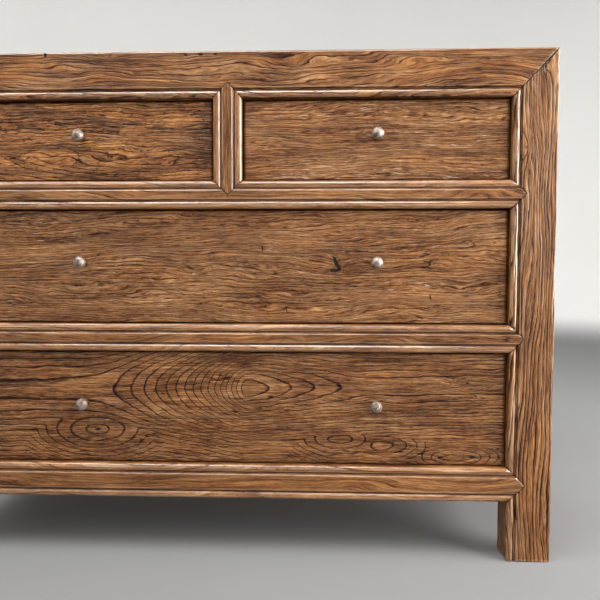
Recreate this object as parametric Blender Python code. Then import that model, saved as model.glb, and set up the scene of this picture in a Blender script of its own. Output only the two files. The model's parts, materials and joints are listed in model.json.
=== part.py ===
"""A four-drawer dresser in the mitred-frame style, as the separate pieces of its construction.

The carcass is a frame of posts and rails. Wherever an edge of the frame faces an opening it
carries a quirk and a bead, and the beads are mitred in every corner. The flat of each rail
ends in a pointed shoulder let into the face of the post, with a tenon hidden behind it, and
each top corner is a three-way mitre between a post and two top rails. Panels float in
grooves. The drawers are dovetailed boxes that slide on runners tenoned between the posts.

Metres, +Z up, front towards -Y. The origin is on the floor, under the middle of the object.
"""

import math

import bmesh
import bpy
from mathutils import Vector

# Overall size of the carcass
WIDTH = 1.082
HEIGHT = 0.850
DEPTH = 0.450

# Posts and rails
POST_WIDTH = 0.073
POST_DEPTH = 0.052
LEG_HEIGHT = 0.101
TOP_RAIL_HEIGHT = 0.0766
RAIL_HEIGHT = 0.0465
RAIL_DEPTH = 0.045
BOTTOM_RAIL_HEIGHT = 0.058
REAR_RAIL_DEPTH = 0.030
MUNTIN_WIDTH = 0.048
TOP_OPENING_HEIGHT = 0.135

# Edge moulding: a quirk, then a bead that rolls over into the opening
BEAD_WIDTH = 0.0148
BEAD_RADIUS = 0.0055
BEAD_SET_BACK = 0.0005
QUIRK_WIDTH = 0.0018
QUIRK_DEPTH = 0.0035
SHOULDER_RADIUS = 0.0020
ARRIS_RADIUS = 0.0025
FOOT_EASE = 0.0025
BEAD_STEPS = 7
ARRIS_STEPS = 3

# Joints of the frame
MITRE_DEPTH = 0.012
TENON_SET_BACK = 0.008
TENON_THICKNESS = 0.010
TENON_LENGTH = 0.030
TENON_SHOULDER = 0.012
STUB_LENGTH = 0.010
STUB_SHOULDER = 0.004
CORNER_STUB_WIDTH = 0.016
CORNER_STUB_DROP = 0.022
CORNER_STUB_SHARE = 0.60

# Panels in their grooves
TONGUE_LENGTH = 0.008
TONGUE_PLAY = 0.001
SIDE_PANEL_THICKNESS = 0.012
SIDE_PANEL_RECESS = 0.010
BACK_PANEL_THICKNESS = 0.008
BACK_PANEL_RECESS = 0.008
TOP_PANEL_THICKNESS = 0.018
TOP_PANEL_TONGUE = 0.008
TOP_PANEL_GAP = 0.0006
TOP_PANEL_DROP = 0.0005

# Runners, guides and kickers
RUNNER_THICKNESS = 0.020
RUNNER_LEDGE = 0.026
GUIDE_GAP = 0.0015
GUIDE_THICKNESS = 0.018
GUIDE_HEIGHT = 0.022
CENTRE_LEDGE = 0.024
KICKER_WIDTH = 0.028
KICKER_HEIGHT = 0.026

# Drawers
DRAWER_RECESS = 0.012
DRAWER_GAP = 0.002
DRAWER_FOOT_GAP = 0.0015
DRAWER_REAR_GAP = 0.016
FRONT_THICKNESS = 0.020
FRONT_EASE = 0.0010
SIDE_THICKNESS = 0.012
SIDE_DROP = 0.008
BACK_THICKNESS = 0.012
BACK_DROP = 0.004
BOTTOM_THICKNESS = 0.007
BOTTOM_LIFT = 0.010
BOTTOM_GROOVE = 0.005
TAIL_LENGTH = 0.013
TAIL_PITCH = 0.045
TAIL_WIDTH = 0.020
TAIL_SLOPE_SHARE = 0.18

# Knobs
KNOB_RADIUS = 0.0103
KNOB_HALF_DEPTH = 0.0085
KNOB_REACH = 0.027
KNOB_NECK_RADIUS = 0.0042
KNOB_COLLAR_RADIUS = 0.0065
KNOB_COLLAR_LENGTH = 0.0028
KNOB_SHANK_RADIUS = 0.0028
KNOB_SHANK_END = 0.0035
KNOB_OUTSET = 0.002
KNOB_LIFT = 0.0065
KNOB_SIDES = 20
KNOB_STEPS = 8
HOLE_SIDES = 16

# Clearances
FIT = 0.0003
OVERRUN = 0.010
MERGE = 0.000001

# Finishes: colour, roughness and metallic value
STAINED_ELM_SHARES = ((0.235, 0.108, 0.045), 0.48, 0.0)
INNER_WOOD_SHARES = ((0.42, 0.27, 0.15), 0.62, 0.0)
AGED_PEWTER_SHARES = ((0.46, 0.38, 0.34), 0.38, 1.0)

# Heights worked out from the sizes above
OPENING_TOP = HEIGHT - TOP_RAIL_HEIGHT
UPPER_RAIL_TOP = OPENING_TOP - TOP_OPENING_HEIGHT
UPPER_RAIL_LOW = UPPER_RAIL_TOP - RAIL_HEIGHT
BOTTOM_RAIL_TOP = LEG_HEIGHT + BOTTOM_RAIL_HEIGHT
WIDE_OPENING_HEIGHT = (UPPER_RAIL_LOW - BOTTOM_RAIL_TOP - RAIL_HEIGHT) / 2
MIDDLE_RAIL_LOW = BOTTOM_RAIL_TOP + WIDE_OPENING_HEIGHT
MIDDLE_RAIL_TOP = MIDDLE_RAIL_LOW + RAIL_HEIGHT

# Places worked out from the sizes above
KNOB_PROUD = KNOB_REACH - DRAWER_RECESS
BACK_Y = (DEPTH + max(KNOB_PROUD, 0)) / 2
FRONT_Y = BACK_Y - DEPTH
INNER_X = WIDTH / 2 - POST_WIDTH
INNER_FRONT_Y = FRONT_Y + POST_DEPTH
INNER_BACK_Y = BACK_Y - POST_DEPTH
MUNTIN_HALF = MUNTIN_WIDTH / 2
FRONT_MITRE_RISE = TOP_RAIL_HEIGHT / POST_WIDTH
SIDE_MITRE_RISE = TOP_RAIL_HEIGHT / POST_DEPTH
PLAIN_RISE_SHARE = 1.0


class Face:
    """A side of the carcass to measure from: l runs along it, d goes in from it, z is up."""

    def __init__(self, origin, along, inward):
        self.origin = Vector(origin)
        self.along = Vector(along)
        self.inward = Vector(inward)
        self.up = Vector((0, 0, 1))

    def direction(self, l, d, z):
        return self.along * l + self.inward * d + self.up * z

    def point(self, l, d, z):
        return self.origin + self.direction(l, d, z)


FRONT = Face((0, FRONT_Y, 0), (1, 0, 0), (0, 1, 0))
REAR = Face((0, BACK_Y, 0), (1, 0, 0), (0, -1, 0))
LEFT = Face((-WIDTH / 2, 0, 0), (0, 1, 0), (1, 0, 0))
RIGHT = Face((WIDTH / 2, 0, 0), (0, 1, 0), (-1, 0, 0))
DRAWER = Face((0, 0, 0), (1, 0, 0), (0, 1, 0))
HAND_SHARES = {"left": -1, "right": 1}
ORDER = "ldz"


def clear_scene():
    for obj in list(bpy.data.objects):
        bpy.data.objects.remove(obj, do_unlink=True)


def add_object(name, bm):
    """Puts a finished bmesh into the scene as an object, with its faces turned outwards."""
    bmesh.ops.recalc_face_normals(bm, faces=bm.faces)
    mesh = bpy.data.meshes.new(name)
    bm.to_mesh(mesh)
    bm.free()
    obj = bpy.data.objects.new(name, mesh)
    bpy.context.scene.collection.objects.link(obj)
    return obj


def prism(name, outline, axis, low, high, face):
    """Extrudes a closed outline along one of a face's axes, l, d or z."""
    bm = bmesh.new()
    across = [name_of for name_of in ORDER if name_of != axis]
    ring = []
    for pair in outline:
        place = {axis: low} | dict(zip(across, pair))
        ring.append(bm.verts.new(face.point(**place)))
    cap = bm.faces.new(ring)
    made = bmesh.ops.extrude_face_region(bm, geom=[cap])["geom"]
    moved = [item for item in made if isinstance(item, bmesh.types.BMVert)]
    step = dict.fromkeys(ORDER, 0) | {axis: high - low}
    bmesh.ops.translate(bm, verts=moved, vec=face.direction(**step))
    return add_object(name, bm)


def block(name, face, l, d, z):
    """A square block between two lengths, two depths and two heights."""
    outline = [(l[0], d[0]), (l[1], d[0]), (l[1], d[1]), (l[0], d[1])]
    return prism(name, outline, "z", z[0], z[1], face)


def grown(span, by):
    return (span[0] - by, span[1] + by)


def inset(span, by):
    return (span[0] + by, span[1] - by)


def hide(helper):
    helper.hide_render = True
    helper.display_type = "WIRE"
    return helper


def combine(target, helper, operation):
    modifier = target.modifiers.new(helper.name, "BOOLEAN")
    modifier.operation = operation
    modifier.solver = "EXACT"
    modifier.object = hide(helper)


def carve(target, helper):
    combine(target, helper, "DIFFERENCE")


def add_on(target, helper):
    combine(target, helper, "UNION")


def trim(obj, point, normal):
    """Cuts off what lies beyond a plane, on the side its normal points to, and closes the cut."""
    bm = bmesh.new()
    bm.from_mesh(obj.data)
    everything = list(bm.verts) + list(bm.edges) + list(bm.faces)
    cut = bmesh.ops.bisect_plane(
        bm, geom=everything, dist=MERGE, plane_co=point, plane_no=normal, clear_outer=True
    )
    rim = [item for item in cut["geom_cut"] if isinstance(item, bmesh.types.BMEdge)]
    bmesh.ops.edgeloop_fill(bm, edges=rim)
    bmesh.ops.recalc_face_normals(bm, faces=bm.faces)
    bm.to_mesh(obj.data)
    bm.free()


def arc(centre, radii, start, end, steps):
    """Points on an ellipse, from one angle to another in degrees."""
    points = []
    for step in range(steps + 1):
        angle = math.radians(start + (end - start) * step / steps)
        points.append((centre[0] + radii[0] * math.cos(angle), centre[1] + radii[1] * math.sin(angle)))
    return points


def bead_profile(width):
    """The moulded edge, as (distance from the opening, depth), from the flat to the opening."""
    shoulder = arc(
        (width + SHOULDER_RADIUS, SHOULDER_RADIUS), (SHOULDER_RADIUS, SHOULDER_RADIUS), 270, 180, ARRIS_STEPS
    )
    across = (width - QUIRK_WIDTH) / 2
    centre_depth = BEAD_SET_BACK + BEAD_RADIUS
    start = math.degrees(math.asin((QUIRK_DEPTH - centre_depth) / BEAD_RADIUS))
    roll = arc((across, centre_depth), (across, BEAD_RADIUS), start, -180, BEAD_STEPS)
    return shoulder + [(width, QUIRK_DEPTH)] + roll


def arris(at_first, at_second):
    """A rounded outer corner between two faces, as (along the first, along the second)."""
    return arc((ARRIS_RADIUS, ARRIS_RADIUS), (ARRIS_RADIUS, ARRIS_RADIUS), at_first, at_second, ARRIS_STEPS)


def post_outline(front_bead):
    """Section of a post, as (distance from the outer side, distance from the front or back)."""
    outline = arris(180, 270)
    if front_bead:
        outline += [(POST_WIDTH - edge, depth) for edge, depth in bead_profile(BEAD_WIDTH)]
    else:
        outline += [(POST_WIDTH, 0)]
    outline += [(POST_WIDTH, POST_DEPTH)]
    outline += [(depth, POST_DEPTH - edge) for edge, depth in reversed(bead_profile(BEAD_WIDTH))]
    return outline


def rail_outline(low, high, depth, low_bead, high_bead):
    """Section of a rail, as (depth, height). A bead width of zero leaves that edge eased."""
    if high_bead:
        upper = [(deep, high - edge) for edge, deep in reversed(bead_profile(high_bead))]
    else:
        upper = [(deep, high - down) for deep, down in arris(270, 180)]
    if low_bead:
        lower = [(deep, low + edge) for edge, deep in bead_profile(low_bead)]
    else:
        lower = [(deep, low + up) for deep, up in arris(180, 270)]
    return [(depth, high)] + upper + lower + [(depth, low)]


def trim_arrow(obj, axis, face, at, sign, centre, half, rise):
    """Points the end of a rail, or of an upright, with two slanted cuts that meet in its middle."""
    for hand in (-1, 1):
        if axis == "l":
            point = face.point(at, 0, centre + hand * half)
            normal = face.direction(sign, 0, hand * rise)
        else:
            point = face.point(centre + hand * half, 0, at)
            normal = face.direction(hand * rise, 0, sign)
        trim(obj, point, normal)


def arrow_notch(name, axis, face, at, sign, centre, half, rise):
    """The cutter for the notch that a pointed shoulder sits in, with a gap all round it."""
    gap = FIT * math.hypot(1, rise)
    apex = at + sign * (half * rise + gap)
    base = at - sign * OVERRUN
    spread = half + (gap + OVERRUN) / rise
    outline = [(apex, centre), (base, centre - spread), (base, centre + spread)]
    if axis == "z":
        outline = [(across, along) for along, across in outline]
    return prism(name, outline, "d", -OVERRUN, MITRE_DEPTH + FIT, face)


def trim_corner(obj, face, hand, keep):
    """Cuts a piece for the three-way mitre of a top corner.

    Each of the three pieces keeps the part of the corner where its own run, as a share of
    the corner's size, is the greatest: a rail along X, a rail along Y, or the post.
    """
    runs = {
        "x": Vector((-hand / POST_WIDTH, 0, 0)),
        "y": face.inward / POST_DEPTH,
        "z": Vector((0, 0, -1 / TOP_RAIL_HEIGHT)),
    }
    corner = Vector((hand * WIDTH / 2, face.origin.y, HEIGHT))
    for other in runs:
        if other != keep:
            normal = (runs[other] - runs[keep]).normalized()
            trim(obj, corner - normal * FIT / 2, normal)


def corner_stub(name, face, hand, grow):
    """The upright stub on a post that locks the two top rails together."""
    across = POST_WIDTH * CORNER_STUB_SHARE
    inward = POST_DEPTH * CORNER_STUB_SHARE
    half = CORNER_STUB_WIDTH / 2 + grow
    middle = hand * (WIDTH / 2 - across)
    bottom = HEIGHT - TOP_RAIL_HEIGHT
    return block(
        name,
        face,
        (middle - half, middle + half),
        (inward - half, inward + half),
        (bottom - grow, HEIGHT - CORNER_STUB_DROP + grow),
    )


def ease_foot(obj, face, hand):
    """Takes the sharp edge off the bottom of a leg, in two facets on each side."""
    outer = Vector((hand, 0, 0))
    sides = (
        (Vector((hand * WIDTH / 2, 0, 0)), outer),
        (Vector((hand * INNER_X, 0, 0)), -outer),
        (face.point(0, 0, 0), -face.inward),
        (face.point(0, POST_DEPTH, 0), face.inward),
    )
    down = Vector((0, 0, -1))
    for point, normal in sides:
        trim(obj, point - normal * FOOT_EASE, (normal + 2 * down).normalized())
        trim(obj, point - down * FOOT_EASE, (2 * normal + down).normalized())


def tenon_depths():
    start = MITRE_DEPTH + TENON_SET_BACK
    return (start, start + TENON_THICKNESS)


def pocket(name, face, l, d, z, play):
    """The room for a tenon or tongue: play at its end, along l, and a close fit elsewhere."""
    return block(name, face, grown(l, play), grown(d, FIT), grown(z, FIT))


def build_posts():
    posts = {}
    for place, face in (("front", FRONT), ("rear", REAR)):
        for side, hand in HAND_SHARES.items():
            section = post_outline(face is FRONT)
            outline = [(hand * (WIDTH / 2 - across), inward) for across, inward in section]
            obj = prism(f"post_{place}_{side}", outline, "z", 0, HEIGHT, face)
            trim_corner(obj, face, hand, "z")
            ease_foot(obj, face, hand)
            add_on(obj, corner_stub(f"stub_{place}_{side}", face, hand, 0))
            posts[place, side] = obj
    return posts


def build_top_rails():
    """The mitred frame of the top: two rails along X and two along Y."""
    rails = {}
    for place, face in (("front", FRONT), ("rear", REAR)):
        bead = BEAD_WIDTH * FRONT_MITRE_RISE if face is FRONT else 0
        section = rail_outline(OPENING_TOP, HEIGHT, POST_DEPTH, bead, 0)
        obj = prism(f"top_rail_{place}", section, "l", -WIDTH / 2, WIDTH / 2, face)
        for hand in HAND_SHARES.values():
            trim_corner(obj, face, hand, "x")
        rails[place] = obj
    for side, face in (("left", LEFT), ("right", RIGHT)):
        section = rail_outline(OPENING_TOP, HEIGHT, POST_WIDTH, BEAD_WIDTH * SIDE_MITRE_RISE, 0)
        obj = prism(f"top_rail_{side}", section, "l", FRONT_Y, BACK_Y, face)
        for end in (FRONT, REAR):
            trim_corner(obj, end, HAND_SHARES[side], "y")
        rails[side] = obj
    for place, end in (("front", FRONT), ("rear", REAR)):
        for side, hand in HAND_SHARES.items():
            room = corner_stub(f"stub_room_{place}_{side}", end, hand, FIT)
            carve(rails[place], room)
            carve(rails[side], room)
    return rails


def build_pointed_rail(name, face, ends, low, high, posts):
    """A beaded rail with a pointed shoulder and a hidden tenon at each end, let into two posts."""
    centre = (low + high) / 2
    half = (high - low) / 2
    reach = half * PLAIN_RISE_SHARE + OVERRUN
    section = rail_outline(low, high, RAIL_DEPTH, BEAD_WIDTH, BEAD_WIDTH)
    rail = prism(name, section, "l", ends[0] - reach, ends[1] + reach, face)
    for sign, at, post in ((-1, ends[0], posts[0]), (1, ends[1], posts[1])):
        trim_arrow(rail, "l", face, at, sign, centre, half, PLAIN_RISE_SHARE)
        shoulder = at - sign * FIT
        behind = sorted((shoulder, at + sign * (reach + OVERRUN)))
        waste = (MITRE_DEPTH, RAIL_DEPTH + OVERRUN)
        carve(rail, block(f"{name}_waste", face, behind, waste, (low - OVERRUN, high + OVERRUN)))
        inside = sorted((shoulder - sign * TENON_LENGTH, shoulder + sign * TENON_LENGTH))
        heights = inset((low, high), TENON_SHOULDER)
        add_on(rail, block(f"{name}_tenon", face, inside, tenon_depths(), heights))
        carve(post, pocket(f"{name}_mortise", face, inside, tenon_depths(), heights, TONGUE_PLAY))
        carve(post, arrow_notch(f"{name}_notch", "l", face, at, sign, centre, half, PLAIN_RISE_SHARE))
    return rail


def build_rear_rail(name, low, high, posts):
    """A plain rail across the back, tenoned into the rear posts."""
    ends = (-INNER_X + FIT, INNER_X - FIT)
    section = rail_outline(low, high, REAR_RAIL_DEPTH, 0, 0)
    rail = prism(name, section, "l", ends[0], ends[1], REAR)
    tenon = (REAR_RAIL_DEPTH - TENON_THICKNESS - STUB_SHOULDER, REAR_RAIL_DEPTH - STUB_SHOULDER)
    heights = inset((low, high), TENON_SHOULDER)
    length = grown(ends, TENON_LENGTH)
    add_on(rail, block(f"{name}_tenon", REAR, length, tenon, heights))
    for side in HAND_SHARES:
        carve(posts["rear", side], pocket(f"{name}_mortise", REAR, length, tenon, heights, TONGUE_PLAY))
    return rail


def build_muntin(top_rail, upper_rail):
    """The upright between the two top drawers, pointed into the rails above and below it."""
    half = MUNTIN_HALF
    edges = bead_profile(BEAD_WIDTH)
    section = [(half, RAIL_DEPTH), (-half, RAIL_DEPTH)]
    section += [(-half + edge, depth) for edge, depth in reversed(edges)]
    section += [(half - edge, depth) for edge, depth in edges]
    reach = half * FRONT_MITRE_RISE + OVERRUN
    low = UPPER_RAIL_TOP - reach
    high = OPENING_TOP + reach
    muntin = prism("muntin", section, "z", low, high, FRONT)
    across = inset((-half, half), TENON_SHOULDER)
    joints = (
        (-1, UPPER_RAIL_TOP, PLAIN_RISE_SHARE, upper_rail),
        (1, OPENING_TOP, FRONT_MITRE_RISE, top_rail),
    )
    for sign, at, rise, rail in joints:
        trim_arrow(muntin, "z", FRONT, at, sign, 0, half, rise)
        shoulder = at - sign * FIT
        behind = sorted((shoulder, at + sign * (reach + OVERRUN)))
        waste = (MITRE_DEPTH, RAIL_DEPTH + OVERRUN)
        carve(muntin, block("muntin_waste", FRONT, grown((-half, half), OVERRUN), waste, behind))
        length = TENON_LENGTH if rail is top_rail else RAIL_HEIGHT / 2
        inside = sorted((shoulder - sign * length, shoulder + sign * length))
        add_on(muntin, block("muntin_tenon", FRONT, across, tenon_depths(), inside))
        room = grown(inside, TONGUE_PLAY)
        carve(rail, block("muntin_mortise", FRONT, grown(across, FIT), grown(tenon_depths(), FIT), room))
        carve(rail, arrow_notch("muntin_notch", "z", FRONT, at, sign, 0, half, rise))
    return muntin


def build_panel(name, face, l, d, z, holders):
    """A flat panel whose edges float in the grooves of the pieces that hold it."""
    length = grown(l, TONGUE_LENGTH)
    height = grown(z, TONGUE_LENGTH)
    panel = block(name, face, length, d, height)
    room = block(
        f"{name}_groove", face, grown(length, TONGUE_PLAY), grown(d, FIT), grown(height, TONGUE_PLAY)
    )
    for holder in holders:
        carve(holder, room)
    return panel


def build_top_panel(rails):
    """The floating board of the top, flush with its frame, with a tongue on its lower half."""
    across = (-INNER_X, INNER_X)
    inward = (POST_DEPTH, DEPTH - POST_DEPTH)
    low = HEIGHT - TOP_PANEL_THICKNESS
    tongue = (low, low + TOP_PANEL_TONGUE)
    panel = block("top_panel", FRONT, grown(across, TONGUE_LENGTH), grown(inward, TONGUE_LENGTH), tongue)
    field = (low + TOP_PANEL_TONGUE / 2, HEIGHT - TOP_PANEL_DROP)
    board = block(
        "top_panel_field", FRONT, inset(across, TOP_PANEL_GAP), inset(inward, TOP_PANEL_GAP), field
    )
    add_on(panel, board)
    groove = TONGUE_LENGTH + TONGUE_PLAY
    room = block("top_groove", FRONT, grown(across, groove), grown(inward, groove), grown(tongue, FIT))
    for rail in rails.values():
        carve(rail, room)
    return panel


def build_side_runner(name, side, level, rail, posts):
    """An L-shaped runner between two posts: a ledge for the drawer side and a guide beside it."""
    hand = HAND_SHARES[side]
    ledge = INNER_X - RUNNER_LEDGE
    guide = INNER_X + GUIDE_GAP
    outer = guide + GUIDE_THICKNESS
    low = level - RUNNER_THICKNESS
    high = level + GUIDE_HEIGHT
    outline = [(ledge, low), (outer, low), (outer, high), (guide, high), (guide, level), (ledge, level)]
    outline = [(hand * across, height) for across, height in outline]
    run = (POST_DEPTH + FIT, DEPTH - POST_DEPTH - FIT)
    runner = prism(name, outline, "d", run[0], run[1], FRONT)
    nose_across = sorted((hand * (ledge + STUB_SHOULDER), hand * (INNER_X - STUB_SHOULDER)))
    nose_height = inset((low, level), STUB_SHOULDER)
    nose_run = (RAIL_DEPTH - STUB_LENGTH, POST_DEPTH + OVERRUN)
    add_on(runner, block(f"{name}_nose", FRONT, nose_across, nose_run, nose_height))
    carve(rail, pocket(f"{name}_nose_room", FRONT, nose_across, grown(nose_run, TONGUE_PLAY), nose_height, FIT))
    stub_across = sorted((hand * (guide + STUB_SHOULDER), hand * (outer - STUB_SHOULDER)))
    stub_height = inset((low, high), STUB_SHOULDER)
    stub_run = grown(run, STUB_LENGTH)
    add_on(runner, block(f"{name}_stub", FRONT, stub_across, stub_run, stub_height))
    room = pocket(f"{name}_stub_room", FRONT, stub_across, grown(stub_run, TONGUE_PLAY), stub_height, FIT)
    carve(posts["front", side], room)
    carve(posts["rear", side], room)
    return runner


def build_cross_bar(name, across, heights, run, holders):
    """A bar from front to back, with a stub tenon at each end."""
    bar = block(name, FRONT, across, inset(run, FIT), heights)
    stub_across = inset(across, STUB_SHOULDER)
    stub_heights = inset(heights, STUB_SHOULDER)
    stub_run = grown(run, STUB_LENGTH)
    add_on(bar, block(f"{name}_stub", FRONT, stub_across, stub_run, stub_heights))
    room = pocket(f"{name}_stub_room", FRONT, stub_across, grown(stub_run, TONGUE_PLAY), stub_heights, FIT)
    for holder in holders:
        carve(holder, room)
    return bar


def build_carcass():
    """Every fixed piece, in the order it would be fitted. Returns the pieces."""
    posts = build_posts()
    top_rails = build_top_rails()
    pieces = list(posts.values()) + list(top_rails.values())

    fronts = (posts["front", "left"], posts["front", "right"])
    ends = (-INNER_X, INNER_X)
    upper = build_pointed_rail("upper_rail", FRONT, ends, UPPER_RAIL_LOW, UPPER_RAIL_TOP, fronts)
    middle = build_pointed_rail("middle_rail", FRONT, ends, MIDDLE_RAIL_LOW, MIDDLE_RAIL_TOP, fronts)
    bottom = build_pointed_rail("bottom_rail_front", FRONT, ends, LEG_HEIGHT, BOTTOM_RAIL_TOP, fronts)
    muntin = build_muntin(top_rails["front"], upper)
    upper_rear = build_rear_rail("upper_rail_rear", UPPER_RAIL_LOW, UPPER_RAIL_TOP, posts)
    bottom_rear = build_rear_rail("bottom_rail_rear", LEG_HEIGHT, BOTTOM_RAIL_TOP, posts)
    pieces += [upper, middle, bottom, muntin, upper_rear, bottom_rear]

    run = (INNER_FRONT_Y, INNER_BACK_Y)
    recess = (SIDE_PANEL_RECESS, SIDE_PANEL_RECESS + SIDE_PANEL_THICKNESS)
    for side, face in (("left", LEFT), ("right", RIGHT)):
        pair = (posts["front", side], posts["rear", side])
        name = f"bottom_rail_{side}"
        side_rail = build_pointed_rail(name, face, run, LEG_HEIGHT, BOTTOM_RAIL_TOP, pair)
        holders = (*pair, side_rail, top_rails[side])
        opening = (BOTTOM_RAIL_TOP, OPENING_TOP)
        pieces += [side_rail, build_panel(f"side_panel_{side}", face, run, recess, opening, holders)]

    back = (BACK_PANEL_RECESS, BACK_PANEL_RECESS + BACK_PANEL_THICKNESS)
    rears = (posts["rear", "left"], posts["rear", "right"])
    openings = (
        ("upper", (UPPER_RAIL_TOP, OPENING_TOP), (upper_rear, top_rails["rear"])),
        ("lower", (BOTTOM_RAIL_TOP, UPPER_RAIL_LOW), (bottom_rear, upper_rear)),
    )
    for place, opening, rails in openings:
        pieces.append(build_panel(f"back_panel_{place}", REAR, ends, back, opening, rears + rails))
    pieces.append(build_top_panel(top_rails))

    levels = (("upper", UPPER_RAIL_TOP, upper), ("middle", MIDDLE_RAIL_TOP, middle), ("bottom", BOTTOM_RAIL_TOP, bottom))
    for place, level, rail in levels:
        for side in HAND_SHARES:
            pieces.append(build_side_runner(f"runner_{place}_{side}", side, level, rail, posts))

    centre = grown((-MUNTIN_HALF, MUNTIN_HALF), CENTRE_LEDGE)
    heights = (UPPER_RAIL_TOP - RUNNER_THICKNESS, UPPER_RAIL_TOP)
    between = (RAIL_DEPTH, DEPTH - REAR_RAIL_DEPTH)
    pieces.append(build_cross_bar("runner_upper_centre", centre, heights, between, (upper, upper_rear)))
    guide_across = inset((-MUNTIN_HALF, MUNTIN_HALF), GUIDE_GAP)
    guide_heights = (UPPER_RAIL_TOP + FIT, UPPER_RAIL_TOP + GUIDE_HEIGHT)
    pieces.append(block("guide_centre", FRONT, guide_across, inset(between, FIT), guide_heights))

    half = KICKER_WIDTH / 2
    reach = INNER_X - half - GUIDE_GAP
    kicker_run = (POST_DEPTH, DEPTH - POST_DEPTH)
    kicker_heights = (OPENING_TOP, OPENING_TOP + KICKER_HEIGHT)
    holders = (top_rails["front"], top_rails["rear"])
    for place, middle_at in (("left", -reach), ("centre", 0), ("right", reach)):
        across = (middle_at - half, middle_at + half)
        pieces.append(build_cross_bar(f"kicker_{place}", across, kicker_heights, kicker_run, holders))
    return pieces


def tail_places(low, high):
    """Heights of the middles of the tails, spread evenly between two heights."""
    count = max(2, round((high - low) / TAIL_PITCH))
    return [low + (high - low) * (2 * index + 1) / (2 * count) for index in range(count)]


def comb(low, high, base, tip, places, grow):
    """A board's edge from low to high, as (run, height), with a dovetail at each place."""
    slope = TAIL_SLOPE_SHARE * abs(tip - base)
    narrow = TAIL_WIDTH / 2 - slope + grow
    wide = TAIL_WIDTH / 2 + grow
    points = [(base, low)]
    for place in places:
        points += [(base, place - narrow), (tip, place - wide), (tip, place + wide), (base, place + narrow)]
    return points + [(base, high)]


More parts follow.
